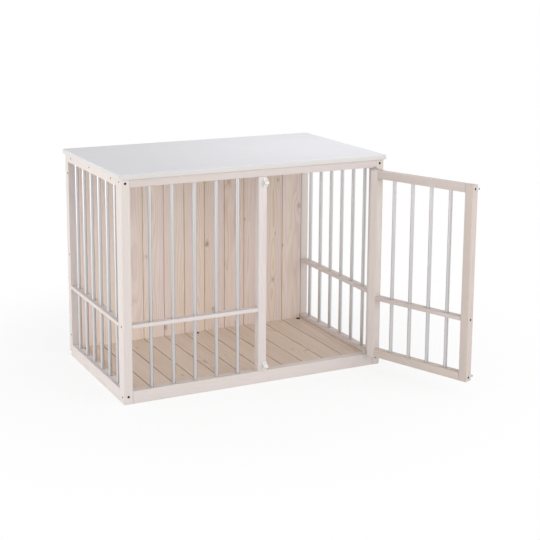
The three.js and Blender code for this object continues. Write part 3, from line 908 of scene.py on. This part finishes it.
@dataclass(frozen=True)
class ScrewHead:
    """Round head of a screw or bolt, with a recess for its driver.

    Attributes:
        radius: Radius of the head.
        height: How far the head stands out of its seat.
        drive: The recess in it.
        sides: Sides of the head and of its recess, a multiple of 12.
        rings: Radius and height below the top of each ring, as shares of the head's own.
        hex_radius: Radius of a hexagon recess, as a share of the head's.
        cross_arm: Length of a cross recess's arms from its middle, as a share of the radius.
        cross_half: Half the width of those arms, as a share of the radius.
        recess_depth: Depth of the recess, as a share of the height.
    """

    radius: float
    height: float
    drive: Drive
    sides: int = 24
    rings: tuple[Point, ...] = ((0.8, 0.0), (0.97, 0.35), (1.0, 1.0))
    hex_radius: float = 0.5
    cross_arm: float = 0.62
    cross_half: float = 0.13
    recess_depth: float = 0.7

    def recess_outline(self, mesh: Mesh) -> list[bmesh.types.BMEdge]:
        """Makes the closed outline of the recess, in the head's top plane.

        Args:
            mesh: The mesh to add to.

        Returns:
            The edges of the outline, one to each side of the head.
        """
        if self.drive is Drive.HEX:
            corners = bmesh.ops.create_circle(mesh, segments=6,
                                              radius=self.hex_radius * self.radius)["verts"]
        else:
            arm, half = self.cross_arm * self.radius, self.cross_half * self.radius
            corners = [mesh.verts.new(Matrix.Rotation(turn * math.pi / 2, 3, "Z") @ Vector(point))
                       for turn in range(4)
                       for point in ((arm, -half, 0), (arm, half, 0), (half, half, 0))]
            for first, second in zip(corners, corners[1:] + corners[:1]):
                mesh.edges.new((first, second))
        edges = list(dict.fromkeys(edge for corner in corners for edge in corner.link_edges))
        bmesh.ops.subdivide_edges(mesh, edges=edges, cuts=self.sides // len(corners) - 1)
        return [edge for edge in mesh.edges if edge.is_wire]

    def build(self, place: Matrix) -> Mesh:
        """Builds the head.

        Args:
            place: A frame on the seat whose Z axis points out of it.

        Returns:
            A closed mesh in the crate's frame.
        """
        mesh = bmesh.new()
        recess = self.recess_outline(mesh)
        rings = []
        for share, drop in self.rings:
            ring = bmesh.ops.create_circle(mesh, segments=self.sides,
                                           radius=share * self.radius)["verts"]
            bmesh.ops.translate(mesh, verts=ring, vec=(0, 0, -drop * self.height))
            rings.append(list(dict.fromkeys(edge for vertex in ring for edge in vertex.link_edges)))
        for first, second in zip([recess] + rings, rings):
            bmesh.ops.bridge_loops(mesh, edges=first + second)
        wall = bmesh.ops.extrude_edge_only(mesh, edges=recess)["geom"]
        lowered = [item for item in wall if isinstance(item, bmesh.types.BMVert)]
        bmesh.ops.translate(mesh, verts=lowered, vec=(0, 0, -self.recess_depth * self.height))
        bmesh.ops.holes_fill(mesh, edges=mesh.edges, sides=self.sides)
        bmesh.ops.recalc_face_normals(mesh, faces=mesh.faces)
        bmesh.ops.translate(mesh, verts=mesh.verts, vec=(0, 0, self.height))
        shade_smooth(mesh, largest_angle=50.0)
        bmesh.ops.transform(mesh, matrix=place, verts=mesh.verts)
        return mesh


@dataclass
class Fasteners:
    """Screws and bolts of the crate and the door, and the caps on the floor.

    Attributes:
        dark_steel_and_hole_shade: Finish of the bolts and the frame's screws, near black so that their heads
        also stand in as painted shade for the shaded holes they sit in.
        zinc: Finish of the latches' screws.
        black: Finish of the floor caps.
        side_screw: Head of the screws in the sides.
        post_bolt: Head of the bolts in the corner posts.
        door_screw: Head of the screws in the door's free stile.
        latch_screw: Head of the screws in the keepers and housings.
        rail_screw_rise: Height of a top rail's screws above the rail's middle.
        rail_screw_places: Places of the screws along a top rail.
        post_screw_shift: From a post's middle to its side screws, along Y.
        stile_screw_shift: From a back stile's middle to its screws, along Y.
        stile_screw_heights: Heights of the screws in a back stile.
        post_bolt_height: Height of the lower post bolts.
        post_bolt_seat: Depth of the recess that a post bolt sits in.
        door_screw_reach: From the middle of the door's free stile to its outer face.
        latch_plate: Height of a latch screw's seat over the back of the latch.
        latch_screw_rise: From a latch's middle to each of its screws.
        cap_radius: Radius of a floor cap.
        cap_height: Height of a floor cap, as a share of its radius.
        cap_inset: From the wall and the sides to a cap's middle.
        cap_sides: Sides of a floor cap.
    """

    dark_steel_and_hole_shade: Material
    zinc: Material
    black: Material
    # The side screws' heads are thin dark discs, sized as painted shade for shaded countersunk holes.
    side_screw: ScrewHead = ScrewHead(3.0 * MM, 0.3 * MM, Drive.CROSS)
    post_bolt: ScrewHead = ScrewHead(3.9 * MM, 4.4 * MM, Drive.HEX)
    door_screw: ScrewHead = ScrewHead(3.6 * MM, 0.8 * MM, Drive.HEX)
    latch_screw: ScrewHead = ScrewHead(2.1 * MM, 1.0 * MM, Drive.CROSS)
    rail_screw_rise: float = 4 * MM
    rail_screw_places: Triple = (-181 * MM, 22 * MM, 211 * MM)
    post_screw_shift: float = -6 * MM
    stile_screw_shift: float = -7 * MM
    stile_screw_heights: Triple = (76 * MM, 357 * MM, 635 * MM)
    post_bolt_height: float = 24 * MM
    post_bolt_seat: float = 5 * MM
    door_screw_reach: float = 14 * MM
    latch_plate: float = 1.8 * MM
    latch_screw_rise: float = 9 * MM
    cap_radius: float = 8 * MM
    cap_height: float = 0.36
    cap_inset: float = 17 * MM
    cap_sides: int = 32

    def place_heads(self, name: str, head: ScrewHead, seats: Iterable[Seat],
                    finish: Material, body: str) -> None:
        """Builds a group of equal heads as one piece.

        Args:
            name: The piece's name.
            head: The head's shape.
            seats: Place and outward direction of each seat.
            finish: Their finish.
            body: The body they move with.
        """
        heads = [head.build(facing(place, outward)) for place, outward in seats]
        finish_piece(name, join_meshes(heads), finish, body)

    def side_seats(self, side: str, outward: Vector) -> list[Seat]:
        """Places the screws in the outer face of one side.

        Args:
            side: "left" or "right".
            outward: The way that the side faces.

        Returns:
            The seats on the post, the top rail and the back stile.
        """
        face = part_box(f"{side}_top_rail")[0 if outward.x < 0 else 1].x
        top = node_centre(f"{side}_top_rail").z + self.rail_screw_rise
        middle = node_centre(f"{side}_mid_rail").z
        low = node_centre(f"{side}_bottom_rail").z
        post_y = node_centre(f"front_{side}_post").y + self.post_screw_shift
        stile_y = node_centre(f"back_{side}_stile").y + self.stile_screw_shift
        spots = [(post_y, height) for height in (top, middle, low)]
        spots += [(y, top) for y in self.rail_screw_places]
        spots += [(stile_y, height) for height in self.stile_screw_heights]
        return [(Vector((face, y, height)), outward) for y, height in spots]

    def post_seats(self) -> list[Seat]:
        """Places the bolts in the recesses of the front corner posts.

        Returns:
            Two seats on each post.
        """
        seats: list[Seat] = []
        for side in ("left", "right"):
            post = node_centre(f"front_{side}_post")
            seat_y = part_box(f"front_{side}_post")[0].y + self.post_bolt_seat
            for height in (self.post_bolt_height, node_centre(f"{side}_top_rail").z):
                seats.append((Vector((post.x, seat_y, height)), FRONT))
        return seats

    def door_seats(self) -> list[Seat]:
        """Places the screws over the recesses in the outer face of the door's free stile.

        Returns:
            A seat at the height of each rail.
        """
        outward = door_place().to_3x3() @ LEFT
        face = node_centre("door_free_stile") + self.door_screw_reach * outward
        return [(Vector((face.x, face.y, node_centre(f"door_{rail}_rail").z)), outward)
                for rail in ("top", "mid", "bottom")]

    def latch_seats(self, node: str, outward: Vector) -> list[Seat]:
        """Places the two screws in a keeper or a bolt housing.

        Args:
            node: The CAD node of the keeper or the housing.
            outward: The way that it faces.

        Returns:
            A seat above its middle and one below.
        """
        centre = node_centre(node)
        back = min(outward.dot(vertex.co) for vertex in frame["nodes"][node].data.vertices)
        plate = centre + (back + self.latch_plate - outward.dot(centre)) * outward
        return [(plate + Vector((0, 0, rise)), outward)
                for rise in (-self.latch_screw_rise, self.latch_screw_rise)]

    def build_floor_caps(self) -> None:
        """Builds the three black caps over the holes of the floor."""
        low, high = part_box("floor_panel")
        cap_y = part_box("back_panel")[0].y - self.cap_inset
        caps = []
        for x in (low.x + self.cap_inset, 0.0, high.x - self.cap_inset):
            mesh = bmesh.new()
            bmesh.ops.create_uvsphere(mesh, u_segments=self.cap_sides,
                                      v_segments=self.cap_sides // 2, radius=self.cap_radius)
            bmesh.ops.bisect_plane(mesh, geom=[*mesh.verts, *mesh.edges, *mesh.faces],
                                   plane_co=(0, 0, 0), plane_no=(0, 0, 1), clear_inner=True)
            bmesh.ops.holes_fill(mesh, edges=mesh.edges, sides=0)
            bmesh.ops.scale(mesh, verts=mesh.verts, vec=(1, 1, self.cap_height))
            bmesh.ops.translate(mesh, verts=mesh.verts, vec=(x, cap_y, high.z))
            shade_smooth(mesh, largest_angle=50.0)
            caps.append(mesh)
        finish_piece("floor_caps", join_meshes(caps), self.black, "crate")

    def build(self) -> None:
        """Builds every group of fasteners."""
        for side, outward in (("left", LEFT), ("right", RIGHT)):
            self.place_heads(f"{side}_side_screws", self.side_screw, self.side_seats(side, outward),
                             self.dark_steel_and_hole_shade, "crate")
        self.place_heads("front_post_bolts", self.post_bolt, self.post_seats(), self.dark_steel_and_hole_shade,
                         "crate")
        self.place_heads("door_stile_screws", self.door_screw, self.door_seats(), self.dark_steel_and_hole_shade,
                         "door")
        door_front = door_place().to_3x3() @ FRONT
        for node, outward in (("upper_keeper", FRONT), ("lower_keeper", FRONT),
                              ("upper_bolt_housing", door_front), ("lower_bolt_housing", door_front)):
            self.place_heads(f"{node}_screws", self.latch_screw, self.latch_seats(node, outward),
                             self.zinc, body_of_node(node))
        self.build_floor_caps()


# ---- Studio ----


@dataclass(frozen=True)
class SoftBox:
    """A large soft lamp.

    Attributes:
        name: The lamp's name.
        place: Where it stands, in metres.
        target: The point it faces.
        size: Its width and height.
        level: The light it gives a white surface that faces it, where 1 is white.
    """

    name: str
    place: Triple
    target: Triple
    size: tuple[float, float]
    level: float

    def build(self) -> None:
        """Adds the lamp to the scene, out of the camera's sight."""
        lamp = bpy.data.lights.new(self.name, "AREA")
        lamp.shape = "RECTANGLE"
        lamp.size, lamp.size_y = self.size
        away = Vector(self.place) - Vector(self.target)
        lamp.energy = self.level * math.pi ** 2 * away.length_squared
        holder = bpy.data.objects.new(self.name, lamp)
        holder.matrix_world = facing(Vector(self.place), away)
        holder.visible_camera = False
        bpy.context.scene.collection.objects.link(holder)


@dataclass(frozen=True)
class Studio:
    """Pale floor, soft lamps and white surroundings.

    Attributes:
        ambient: Light of the surroundings on the object.
        shadow: Share of the floor's brightness that the object's shadow can take away.
        shadow_fade: Distances from the crate's middle at which the shadow starts to fade and is
            gone, in metres.
        paper: Share of the light that the floor throws back onto the crate.
        floor_size: Half the width of the floor.
        floor_drop: How far the floor lies under the crate's feet.
        lamps: The soft boxes.
    """

    ambient: float = 0.52
    shadow: float = 0.22
    shadow_fade: Range = (0.5, 1.3)
    paper: float = 0.9
    floor_size: float = 15.0
    floor_drop: float = 0.2 * MM
    lamps: tuple[SoftBox, ...] = (
        SoftBox("left box", (-3.4, 0.1, 0.85), (-0.45, 0.0, 0.4), (2.8, 2.2), 0.68),
        SoftBox("front box", (1.3, -3.3, 1.8), (0.1, -0.27, 0.4), (4.4, 3.6), 0.64),
        SoftBox("overhead box", (0.45, 0.1, 1.4), (0.45, 0.1, 0.713), (0.9, 0.9), 0.51),
    )

    def build_surroundings(self) -> None:
        """Makes surroundings that look white and light the object at the ambient level."""
        world = bpy.data.worlds.new("surroundings")
        graph = NodeGraph(world)
        strength = graph.rescale(graph.seen_ray(), (0.0, 1.0), self.ambient, 1.0)
        graph.show(graph.node("Background", {"Color": WHITE, "Strength": strength}))
        bpy.context.scene.world = world

    def floor_finish(self) -> Material:
        """Makes the floor's finish, white to the eye with a share of the object's shadow.

        Returns:
            The material.
        """
        material = bpy.data.materials.new("studio floor")
        graph = NodeGraph(material)
        self_lit = graph.node("Emission", {"Color": WHITE})
        lit_paper = graph.node("BsdfDiffuse", {"Color": WHITE})
        bounce = graph.node("BsdfDiffuse", {"Color": (self.paper, self.paper, self.paper, 1.0)})
        distance = graph.length(graph.object_place())
        share = graph.rescale(distance, self.shadow_fade, self.shadow, 0.0, smooth=True)
        seen = graph.node("MixShader", {0: share, 1: self_lit.outputs[0], 2: lit_paper.outputs[0]})
        rays = {0: graph.seen_ray(), 1: bounce.outputs[0], 2: seen.outputs[0]}
        graph.show(graph.node("MixShader", rays))
        return material

    def build_floor(self) -> None:
        """Lays the floor just under the crate's feet."""
        mesh = bmesh.new()
        bmesh.ops.create_grid(mesh, x_segments=1, y_segments=1, size=self.floor_size,
                              matrix=Matrix.Translation((0, 0, -self.floor_drop)))
        data = bpy.data.meshes.new("studio_floor")
        mesh.to_mesh(data)
        mesh.free()
        data.materials.append(self.floor_finish())
        floor = bpy.data.objects.new("studio_floor", data)
        bpy.context.scene.collection.objects.link(floor)

    def build(self) -> None:
        """Builds the whole studio."""
        self.build_surroundings()
        self.build_floor()
        for lamp in self.lamps:
            lamp.build()
        bpy.context.scene.view_settings.view_transform = "Standard"
        LOG.info("studio")


@dataclass(frozen=True)
class PhotoCamera:
    """The camera at the photograph's viewing angle.

    Attributes:
        place: Its place in the crate's frame, in metres.
        yaw: How far it looks to the right of the back wall, in degrees.
        pitch: How far it looks down, in degrees.
        roll: How far it leans, in degrees.
        focal_length: In pixels of the picture's width.
        picture_width: The picture's width in pixels.
        sensor_width: Width of the sensor, in millimetres.
        shift: Upward shift of the lens, as a share of the width.
    """

    place: Triple = (-1.65515, -3.64428, 1.35498)
    yaw: float = 26.660
    pitch: float = 10.844
    roll: float = 0.346
    focal_length: float = 1229.22
    picture_width: float = 540.0
    sensor_width: float = 36.0
    shift: float = -0.15

    def build(self) -> None:
        """Adds the camera and makes it the scene's own."""
        data = bpy.data.cameras.new("photo camera")
        data.sensor_width = self.sensor_width
        data.lens = self.focal_length * self.sensor_width / self.picture_width
        data.shift_y = self.shift
        camera = bpy.data.objects.new("photo camera", data)
        turn = Matrix.Rotation(math.radians(-self.yaw), 4, "Z")
        tilt = Matrix.Rotation(math.radians(90 - self.pitch), 4, "X")
        lean = Matrix.Rotation(math.radians(self.roll), 4, "Z")
        camera.matrix_world = Matrix.Translation(self.place) @ turn @ tilt @ lean
        bpy.context.scene.collection.objects.link(camera)
        bpy.context.scene.camera = camera
        LOG.info("camera")


# ---- The crate ----

WALL_KNOTS = (
    Knot((48, 243, 344), 9, 0.75), Knot((134, 243, 560), 8, 0.4), Knot((196, 243, 420), 5, 0.45),
    Knot((319, 243, 356), 5, 0.4), Knot((329, 243, 553), 6, 0.5), Knot((416, 243, 449), 8, 0.55),
    Knot((349, 243, 308), 5, 0.4), Knot((-112, 243, 57), 8, 0.55), Knot((72, 243, 103), 8, 0.55),
    Knot((310, 243, 184), 6, 0.45), Knot((161, 243, 38), 7, 0.45), Knot((-181, 243, 322), 5, 0.4),
)
FLOOR_KNOTS = (
    Knot((223, -82, 27), 6, 0.5), Knot((257, -115, 27), 7, 0.5), Knot((-97, -72, 27), 8, 0.6),
    Knot((-9, -40, 27), 7, 0.35), Knot((328, 215, 27), 6, 0.45), Knot((-252, 161, 27), 6, 0.45),
    Knot((-217, -164, 27), 7, 0.45),
)
FRAME_KNOTS = (Knot((403.4, -321.2, 355.7), 4, 0.45), Knot((37.5, -271, 7.1), 3, 0.4))

# The tone of each board and each piece of the frame, 0 to 1: the wood's own yellowing and
# random tone, except that the wall's right-hand boards, the door's pieces and the front top
# rail are darker as painted shade. The floor's tones are the boards' own.
WALL_TONES_AND_SHADE = (0.0, 0.0, 0.1, 0.05, 0.2, 0.35, 0.6, 0.75, 0.7, 0.6, 0.4)
FLOOR_TONES = (0.1, 0.0, 0.15, 0.0, 0.2, 0.0, 0.1, 0.3, 0.1, 0.25, 0.3)
FRAME_TONES_AND_SHADE = {
    "front_top_rail": 0.5, "front_left_post": 0.0, "centre_post": 0.05, "front_bottom_rail": 0.1,
    "front_mid_rail": 0.0, "left_top_rail": 0.0, "left_mid_rail": 0.15, "left_bottom_rail": 0.05,
    "front_right_post": 0.35, "door_hinge_stile": 0.25, "door_free_stile": 1.0,
    "door_top_rail": 0.9, "door_mid_rail": 0.8, "door_bottom_rail": 0.9, "right_mid_rail": 0.3,
    "right_bottom_rail": 0.5, "back_left_stile": 0.1, "back_right_stile": 0.0,
}


def build_boarding() -> None:
    """Builds the back wall, which stands, and the floor, which lies with its face up."""
    # Both seam colours are unglazed wood darkened as painted shade in the grooves; the floor's much more, almost
    # brown-black from shallow in the bevel.
    wall_pine = WhitewashedPine(
        "wall pine", wash=srgb(247, 234, 232), line=srgb(210, 184, 168), warm=srgb(248, 234, 218),
        seam=srgb(184, 152, 134), ring_spacing=6 * MM, line_strength=0.42, knots=WALL_KNOTS,
        knot_stretch=(1.0, 1.0, 0.6)).build()
    floor_pine = WhitewashedPine(
        "floor pine", wash=srgb(234, 217, 205), line=srgb(188, 166, 146), warm=srgb(229, 212, 194),
        seam=srgb(118, 92, 74), seam_start=0.2, ring_spacing=6 * MM, line_strength=0.4,
        knots=FLOOR_KNOTS, knot_stretch=(1.0, 0.6, 1.0)).build()
    standing = Matrix.Identity(4)
    lying = Matrix(((1, 0, 0, 0), (0, 0, 1, 0), (0, -1, 0, 0), (0, 0, 0, 1)))
    Boarding("back_panel", "back_boards", wall_pine, standing, WALL_TONES_AND_SHADE,
             seam_gap=0.6 * MM).build()
    Boarding("floor_panel", "floor_boards", floor_pine, lying, FLOOR_TONES).build()


def main() -> None:
    """Builds the finishes, the sub-assemblies, the studio and the camera in order."""
    logging.basicConfig(level=logging.INFO, format="%(name)s: %(message)s")
    frame_pine = WhitewashedPine(
        "frame pine", wash=srgb(226, 218, 217), line=srgb(210, 196, 191), warm=srgb(226, 217, 211),
        ring_spacing=4.5 * MM, knots=FRAME_KNOTS).build()
    laminate = WhiteLaminate("white laminate", srgb(230, 230, 234)).build()
    # The band round the slab is a darker white, partly as painted shade on its upright faces.
    edge_band_with_shade = WhiteLaminate("edge band with painted shade", srgb(219, 216, 213)).build()
    bars = SatinMetal("satin bars", srgb(205, 203, 204), (1800.0, 1800.0, 12.0)).build()
    plated = SatinMetal("zinc plate", srgb(205, 203, 200), (900.0, 900.0, 900.0)).build()
    plastic = MouldedPlastic("white plastic", srgb(238, 237, 234)).build()
    black = MouldedPlastic("black plastic", srgb(16, 15, 14), roughness=(0.41, 0.51),
                           gloss=0.2).build()
    # The black steel is near black partly as painted shade: the screw and bolt heads in it stand in for shaded
    # holes.
    oxide = BlackOxide("black oxide steel and painted hole shade", srgb(22, 17, 15)).build()

    TableTop(laminate, edge_band_with_shade).build()
    TimberFrame(frame_pine, FRAME_TONES_AND_SHADE).build()
    Bars(bars).build()
    build_boarding()
    Hardware(plastic, oxide, plated).build()
    Fasteners(oxide, plated, black).build()
    Studio().build()
    PhotoCamera().build()


if __name__ == "__main__":
    main()
